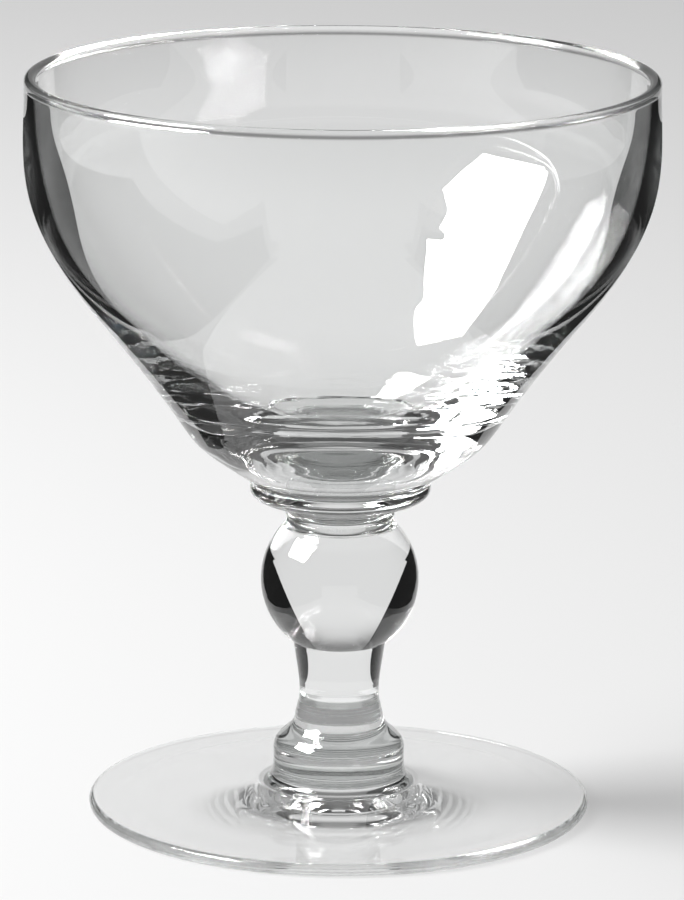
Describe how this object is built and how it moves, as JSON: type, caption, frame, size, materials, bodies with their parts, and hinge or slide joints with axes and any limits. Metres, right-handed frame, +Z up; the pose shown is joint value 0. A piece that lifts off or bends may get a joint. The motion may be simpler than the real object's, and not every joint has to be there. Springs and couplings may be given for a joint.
{
  "type": "stemmed sherbet glass",
  "caption": "Clear stemmed sherbet glass: a deep rounded bowl for ices and drinks on a collar, a ball knop, a waisted shank and a cushion knop over a flat round foot.",
  "frame": {"origin": "centre of the flat ring under the foot, on the surface that the glass stands on", "axes": "+Z up along the axis of the stem; the glass is round, so +X and +Y are free"},
  "size_m": [0.0954, 0.0954, 0.113],
  "materials": {
    "clear_glass": "fire-polished clear glass"
  },
  "bodies": {
    "root": {"foot": "clear_glass", "cushion_knop": "clear_glass", "stem_shank": "clear_glass", "ball_knop": "clear_glass", "neck_ring": "clear_glass", "collar": "clear_glass", "bowl": "clear_glass"}
  },
  "joints": []
}
